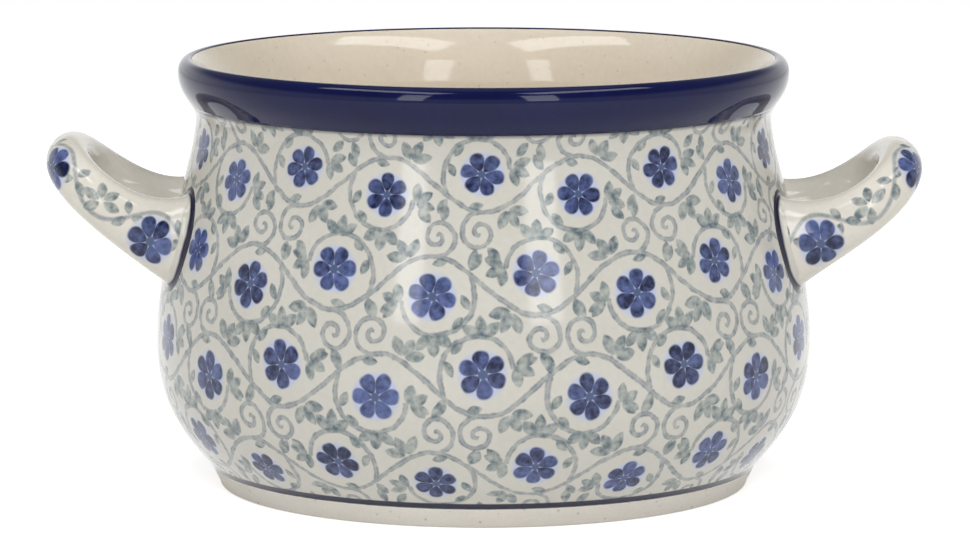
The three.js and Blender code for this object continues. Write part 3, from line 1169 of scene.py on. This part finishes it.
@cache
def lathe_tree() -> NodeTree:
    """Builds the tree that turns a row of points about the upright axis.

    Returns:
        The tree, the same one at each call.
    """
    takes = {"Outline": Socket.SHAPE, "Sides": Socket.COUNT, "Weld": Socket.NUMBER, "Lip": Socket.NUMBER}
    takes |= dict.fromkeys(FINISHED_PARTS, Socket.MATERIAL)
    sheet = Sheet.group("turned_on_the_wheel", "GeometryNodeTree", takes, {"Skin": Socket.SHAPE})
    outline, sides, weld, lip, foot_finish, wall_finish, inside_finish = sheet.taken
    count = sheet.add("GeometryNodeAttributeDomainSize", outline).outputs["Point Count"]
    grid = sheet.add("GeometryNodeMeshGrid", 1.0, 1.0, (Op.ADD, sides, 1.0), count)
    index = sheet.add("GeometryNodeInputIndex")
    column, row = sheet.add(Op.FLOOR, (Op.DIV, index, count)), sheet.add(Op.MOD, index, count)
    position = sheet.add("GeometryNodeInputPosition")
    named = sheet.add("GeometryNodeInputNamedAttribute", "arc", data_type="FLOAT")
    spot = sheet.add("GeometryNodeSampleIndex", outline, position, row, data_type="FLOAT_VECTOR")
    arc = sheet.add("GeometryNodeSampleIndex", outline, named, row, data_type="FLOAT")
    radius, _, height = sheet.add("ShaderNodeSeparateXYZ", spot).outputs
    angle = sheet.add(Op.MUL, (Op.DIV, column, sides), TURN)
    level = [(Op.MUL, radius, (way, angle)) for way in (Op.COS, Op.SIN)]
    place = sheet.add("ShaderNodeCombineXYZ", *level, height)
    shape = sheet.add("GeometryNodeStoreNamedAttribute", grid, None, "arc", arc, data_type="FLOAT")
    shape = sheet.add("GeometryNodeSetPosition", shape, Position=place)
    shape = sheet.add("GeometryNodeMergeByDistance", shape, Distance=weld)
    shape = sheet.add("GeometryNodeSetShadeSmooth", shape)
    shape = sheet.add("GeometryNodeRealizeInstances", shape)
    shape = sheet.add("GeometryNodeSetMaterial", shape, Material=foot_finish)
    for finish, beyond in ((wall_finish, 0.0), (inside_finish, lip)):
        past = sheet.add("FunctionNodeCompare", named, beyond, data_type="FLOAT", operation="GREATER_THAN")
        shape = sheet.add("GeometryNodeSetMaterial", shape, past, finish)
    sheet.add("NodeGroupOutput", shape)
    return sheet.tree


@dataclass(frozen=True)
class Ripple:
    """A wave in the edge of the slip: how many go round, their height as a share, and their phase."""

    waves: int
    height: float
    phase: float


@dataclass(frozen=True)
class StrapHandle:
    """A pulled strap that loops out from the belly, with the slip at its two roots, in millimetres."""

    outline: Outline
    side: Side
    root_rise: float
    tip_rise: float
    tip_tilt: float
    root_run: float
    turn: float
    root_spread: float = 18.4
    tip_reach: float = 21.9
    tip_run: float = 22.0
    strap_width: float = 9.8
    strap_thickness: float = 8.7
    root_width: float = 19.4
    root_thickness: float = 12.6
    flare_power: float = 4.3
    tilt_power: float = 2.3
    section_power: float = 2.1
    buried: float = 1.6
    slip_on_wall: float = 1.7
    slip_on_strap: float = 1.7
    slip_depth: float = 0.9
    slip_tuck: float = 0.1
    slip_past: float = 0.7
    slip_edge: tuple[Ripple, ...] = (Ripple(2, 0.1, 0.7), Ripple(5, 0.06, 0.0))
    seat_within: float = 0.35
    sides: int = 64
    steps: int = 110
    slip_steps: int = 7
    fine: int = 400
    root_steps: int = 50
    halvings: int = 30

    @cached_property
    def wall_point(self) -> tuple[Vector, Vector]:
        """The wall at the height of the roots, and the direction that its outline climbs in."""
        height = self.outline.belly_height + self.root_rise
        shares = np.linspace(0, 1, self.fine)
        share = float(np.interp(height, [self.outline.shoulder(s).y for s in shares], shares))
        step = 1 / self.fine
        travel = self.outline.shoulder(share + step) - self.outline.shoulder(share - step)
        return self.outline.shoulder(share), travel.normalized()

    @cached_property
    def middle(self) -> tuple[np.ndarray, np.ndarray, np.ndarray, float]:
        """Shares of the left strap's middle line, its points and directions there, and its length."""
        wall, travel = self.wall_point
        face = Vector((-math.sqrt(wall.x**2 - self.root_spread**2), -self.root_spread, wall.y))
        out = Vector((-travel.y, 0, -travel.x))
        tip = Vector((-wall.x - self.tip_reach, 0, wall.y + self.tip_rise))
        loop = bezier(face, face + out * self.root_run, tip - Vector((0, self.tip_run, 0)), tip)
        root = bezier(face - out * self.root_thickness / 2, face)
        half = walk(root, self.root_steps) + walk(loop, self.fine)[1:]
        points = half + [Vector((p.x, -p.y, p.z)) for p in half[-2::-1]]
        far = lengths(points)
        rows = np.array([tuple(p) for p in points])
        travels = np.gradient(rows, far, axis=0)
        return far / far[-1], rows, travels / np.linalg.norm(travels, axis=1, keepdims=True), float(far[-1])

    def surface(self, share: np.ndarray, turn: np.ndarray) -> tuple[np.ndarray, np.ndarray]:
        """Gives points of the strap's skin on the left side.

        Args:
            share: Shares of the middle line.
            turn: Angles round it, from 0 on the outer face; the same shape.

        Returns:
            The points, and the mean radius of the strap at each.
        """
        shares, _, travels, length = self.middle
        _, climb = self.wall_point
        spot = self.middle_at(share)
        travel = np.stack([np.interp(share, shares, travels[:, k]) for k in range(3)], axis=-1)
        root = np.minimum(1, np.abs(2 * share - 1) / (1 - self.root_thickness / length))
        flare = root**self.flare_power
        lean = math.atan2(-climb.x, climb.y)
        tilt = math.radians(self.tip_tilt) + (lean - math.radians(self.tip_tilt)) * root**self.tilt_power
        up = np.stack([np.sin(tilt), np.zeros_like(tilt), np.cos(tilt)], axis=-1)
        outward = np.cross(up, travel)
        outward /= np.linalg.norm(outward, axis=-1, keepdims=True)
        across = np.cross(travel, outward)
        half_wide = (self.strap_width + (self.root_width - self.strap_width) * flare) / 2
        half_thick = (self.strap_thickness + (self.root_thickness - self.strap_thickness) * flare) / 2
        power = 2 / self.section_power
        thick = half_thick * np.sign(np.cos(turn)) * np.abs(np.cos(turn)) ** power
        wide = half_wide * np.sign(np.sin(turn)) * np.abs(np.sin(turn)) ** power
        points = spot + outward * thick[..., None] + across * wide[..., None]
        return points, (half_wide + half_thick) / 2

    def outside_wall(self, points: np.ndarray) -> np.ndarray:
        """Gives how far points lie outside the bowl's wall, measured level."""
        return np.hypot(points[..., 0], points[..., 1]) - np.interp(points[..., 2], *self.outline.wall_table)

    def seat(self, end: End, turn: np.ndarray) -> np.ndarray:
        """Finds where each line along the strap meets the wall.

        Args:
            end: End of the strap.
            turn: Angles round the strap.

        Returns:
            The share of the middle line at which it meets the wall, for each angle.
        """
        limits = (0.0, self.seat_within) if end is End.FRONT else (1.0, 1 - self.seat_within)
        inner, outer = (np.full_like(turn, limit) for limit in limits)
        for _ in range(self.halvings):
            middle = (inner + outer) / 2
            clear = self.outside_wall(self.surface(middle, turn)[0]) > 0
            inner, outer = np.where(clear, inner, middle), np.where(clear, middle, outer)
        return (inner + outer) / 2

    def turned(self, points: np.ndarray) -> np.ndarray:
        """Moves points of the left handle round the bowl to where this handle sits."""
        angle = math.radians(self.turn) + (0 if self.side is Side.LEFT else math.pi)
        cos, sin = math.cos(angle), math.sin(angle)
        return points @ np.array([[cos, sin, 0], [-sin, cos, 0], [0, 0, 1]])

    @property
    def turns(self) -> np.ndarray:
        """Angles round the strap."""
        return np.arange(self.sides) * TURN / self.sides

    def strap(self) -> None:
        """Builds the strap from wall to wall, with both ends a little inside the wall."""
        front, rear = self.seat(End.FRONT, self.turns), self.seat(End.REAR, self.turns)
        length = self.middle[3]
        share = front + (rear - front) * np.linspace(0, 1, self.steps + 1)[:, None]
        sunk = self.buried / length
        share = np.vstack([front - sunk, share, rear + sunk])
        turn = np.broadcast_to(self.turns, share.shape)
        points, radius = self.surface(share, turn)
        name = f"handle_{self.side.value}"
        mesh = skin(name, self.turned(points), closed=False)
        along = (share - 0.5) * length
        store(mesh, "strap", np.stack([radius * np.cos(turn), radius * np.sin(turn), along], axis=-1))
        mesh.materials.append(PAINTED_STRAP.material())
        attach(put(name, mesh), name, Slot.STONEWARE)

    def slip(self, end: End) -> None:
        """Builds the slip that is smoothed into the corner between a root and the wall.

        Args:
            end: End of the strap.
        """
        seat, turn = self.seat(end, self.turns), self.turns
        sign = 1 if end is End.FRONT else -1
        joint = self.surface(seat, turn)[0]
        on_strap = self.surface(seat + sign * self.slip_on_strap / self.middle[3], turn)[0]
        heights, radii = self.outline.wall_table
        slope = np.interp(joint[:, 2], heights, np.gradient(radii, heights))
        level = joint[:, :2] / np.linalg.norm(joint[:, :2], axis=1, keepdims=True)
        normal = np.column_stack([level, -slope])
        normal /= np.linalg.norm(normal, axis=1, keepdims=True)
        run = np.roll(joint, -1, axis=0) - np.roll(joint, 1, axis=0)
        away = np.cross(run, normal)
        away /= np.linalg.norm(away, axis=1, keepdims=True)
        away *= np.sign(np.sum(away * (joint - joint.mean(axis=0)), axis=1, keepdims=True))
        swell = sum(edge.height * np.sin(edge.waves * turn + edge.phase) for edge in self.slip_edge)
        spread = self.slip_on_wall * (1 + swell)
        on_wall = self.onto_wall(joint + away * spread[:, None], 0.0)
        under_wall = self.onto_wall(joint + away * (spread + self.slip_past)[:, None], self.slip_tuck)
        past = seat + sign * (self.slip_on_strap + self.slip_past) / self.middle[3]
        under_strap = self.surface(past, turn)[0]
        under_strap += (self.middle_at(past) - under_strap) * self.slip_tuck / self.strap_thickness
        buried = joint - normal * self.slip_depth - away * self.slip_depth
        shares = np.linspace(0, 1, self.slip_steps)
        rows = [(1 - s) ** 2 * on_wall + 2 * s * (1 - s) * joint + s * s * on_strap for s in shares]
        rings = np.stack([under_wall, *rows, under_strap, buried])
        name = f"slip_{self.side.value}_{self.named(end)}"
        mesh = skin(name, self.turned(rings), closed=True)
        store(mesh, "across", np.repeat([0.0, *shares, 1.0, 1.0], self.sides))
        mesh.materials.append(SLIP.material())
        attach(put(name, mesh), name, Slot.SLIP)

    def onto_wall(self, points: np.ndarray, tuck: float) -> np.ndarray:
        """Moves points level onto the bowl's wall, or a little under it."""
        gone = (self.outside_wall(points) + tuck) / np.hypot(points[:, 0], points[:, 1])
        return points * np.column_stack([1 - gone, 1 - gone, np.ones_like(gone)])

    def middle_at(self, share: np.ndarray) -> np.ndarray:
        """Gives points of the strap's middle line."""
        shares, rows = self.middle[:2]
        return np.stack([np.interp(share, shares, rows[:, k]) for k in range(3)], axis=-1)

    def named(self, end: End) -> str:
        """Names an end as it lies on this side: half a turn swaps front and rear."""
        swapped = {End.FRONT: End.REAR, End.REAR: End.FRONT}
        return (end if self.side is Side.LEFT else swapped[end]).value

    def build(self) -> None:
        """Builds the strap and the slip at both of its roots."""
        self.strap()
        for end in End:
            self.slip(end)


# The two straps as they were pulled and set by hand: heights, lean, straight run and turn about the bowl
LEFT_STRAP = {"root_rise": 24.0, "tip_rise": 15.5, "tip_tilt": 31.0, "root_run": 14.5, "turn": -0.4}
RIGHT_STRAP = {"root_rise": 23.4, "tip_rise": 15.1, "tip_tilt": 43.0, "root_run": 18.0, "turn": 1.0}


@dataclass(frozen=True)
class SoftBox:
    """A studio lamp seen from the bowl, in degrees, metres and times the light of a white wall."""

    name: str
    azimuth: float
    elevation: float
    away: float
    wide: float
    tall: float
    glow: float


@dataclass(frozen=True)
class Studio:
    """Pale floor, white room, lamps and camera, in metres and millimetres of lens."""

    eye: tuple[float, float, float] = (0.0003, -1.127, 0.2073)
    aim: tuple[float, float, float] = (0.0003, 0.0, 0.0436)
    lens: float = 197.3
    sensor: float = 36.0
    room: float = 0.27
    floor_size: float = 12.0
    floor_colour: str = "fbfbfa"
    floor_glow: float = 0.56
    sweep: Span = (0.2, 0.4)
    boxes: tuple[SoftBox, ...] = (
        SoftBox("left_box", -26.5, 24, 1.3, 0.21, 0.72, 4.8),
        SoftBox("right_box", 21.5, 24, 1.3, 0.26, 0.72, 4.8),
        SoftBox("left_top_box", -53.0, 58, 1.4, 1.0, 0.3, 5.6),
        SoftBox("right_top_box", 55.0, 58, 1.4, 1.0, 0.3, 5.6),
        SoftBox("top_box", 180.0, 84, 1.5, 1.2, 1.0, 0.4),
    )

    def build(self) -> None:
        """Sets up the whole studio."""
        self.lay_floor()
        self.light_room()
        for box in self.boxes:
            self.hang(box)
        self.place_camera()
        bpy.context.scene.view_settings.view_transform = "Standard"

    def lay_floor(self) -> None:
        """Lays the floor, which also fills the background."""
        mesh = bpy.data.meshes.new("floor")
        half = self.floor_size / 2
        corners = [(-half, -half, 0), (half, -half, 0), (half, half, 0), (-half, half, 0)]
        mesh.from_pydata(corners, [], [range(len(corners))])
        paper = bpy.data.materials.new("matt_white_paper")
        sheet = Sheet.of(paper)
        matt = sheet.add("ShaderNodeBsdfDiffuse", linear(self.floor_colour))
        glow = sheet.add("ShaderNodeEmission", WHITE, (Op.MUL, self.seen(sheet), self.floor_glow))
        sheet.add("ShaderNodeOutputMaterial", sheet.add("ShaderNodeAddShader", matt, glow))
        mesh.materials.append(paper)
        put("floor", mesh)

    @staticmethod
    def seen(sheet: Sheet) -> Node:
        """Gives 1 to what a camera, a mirror or a glass sees, and 0 to light on its way to a matt surface."""
        path = sheet.add("ShaderNodeLightPath").outputs
        direct = sheet.add(Op.MAX, path["Is Camera Ray"], path["Is Glossy Ray"])
        return sheet.add(Op.MAX, direct, path["Is Transmission Ray"])

    def light_room(self) -> None:
        """Lights the room evenly; a camera, mirror or glass sees a white sweep behind the floor."""
        world = bpy.data.worlds.new("white_room")
        sheet = Sheet.of(world)
        toward = sheet.add("ShaderNodeTexCoord").outputs["Generated"]
        aloft = sheet.add("ShaderNodeSeparateXYZ", toward).outputs["Z"]
        paper = sheet.add("ShaderNodeMapRange", aloft, *self.sweep, 1.0, 0.0)
        strength = sheet.add("ShaderNodeMix", (Op.MUL, self.seen(sheet), paper), self.room, 1.0)
        sheet.add("ShaderNodeOutputWorld", sheet.add("ShaderNodeBackground", WHITE, strength))
        bpy.context.scene.world = world

    def hang(self, box: SoftBox) -> None:
        """Hangs a lamp so that it faces the bowl.

        Args:
            box: The lamp.
        """
        azimuth, elevation = math.radians(box.azimuth), math.radians(box.elevation)
        level = math.cos(elevation)
        toward = Vector((math.sin(azimuth) * level, -math.cos(azimuth) * level, math.sin(elevation)))
        lamp = bpy.data.lights.new(box.name, "AREA")
        lamp.shape, lamp.size, lamp.size_y = "RECTANGLE", box.wide, box.tall
        lamp.energy = box.glow * math.pi * box.wide * box.tall
        hung = put(box.name, lamp)
        hung.location = Vector(self.aim) + toward * box.away
        hung.rotation_euler = toward.to_track_quat("Z", "Y").to_euler()
        hung.visible_camera = False

    def place_camera(self) -> None:
        """Stands the camera where the photograph was taken from."""
        camera = bpy.data.cameras.new("camera")
        camera.lens, camera.sensor_width = self.lens, self.sensor
        stand = put("camera", camera)
        stand.location = self.eye
        stand.rotation_euler = (Vector(self.aim) - Vector(self.eye)).to_track_quat("-Z", "Y").to_euler()
        bpy.context.scene.camera = stand


def main() -> None:
    """Builds the studio, the bowl and its handles in order."""
    logging.basicConfig(level=logging.INFO)
    Studio().build()
    outline = Outline()
    clay = TurnedClay(outline)
    clay.body()
    clay.coat()
    StrapHandle(outline, Side.LEFT, **LEFT_STRAP).build()
    StrapHandle(outline, Side.RIGHT, **RIGHT_STRAP).build()


if __name__ == "__main__":
    main()
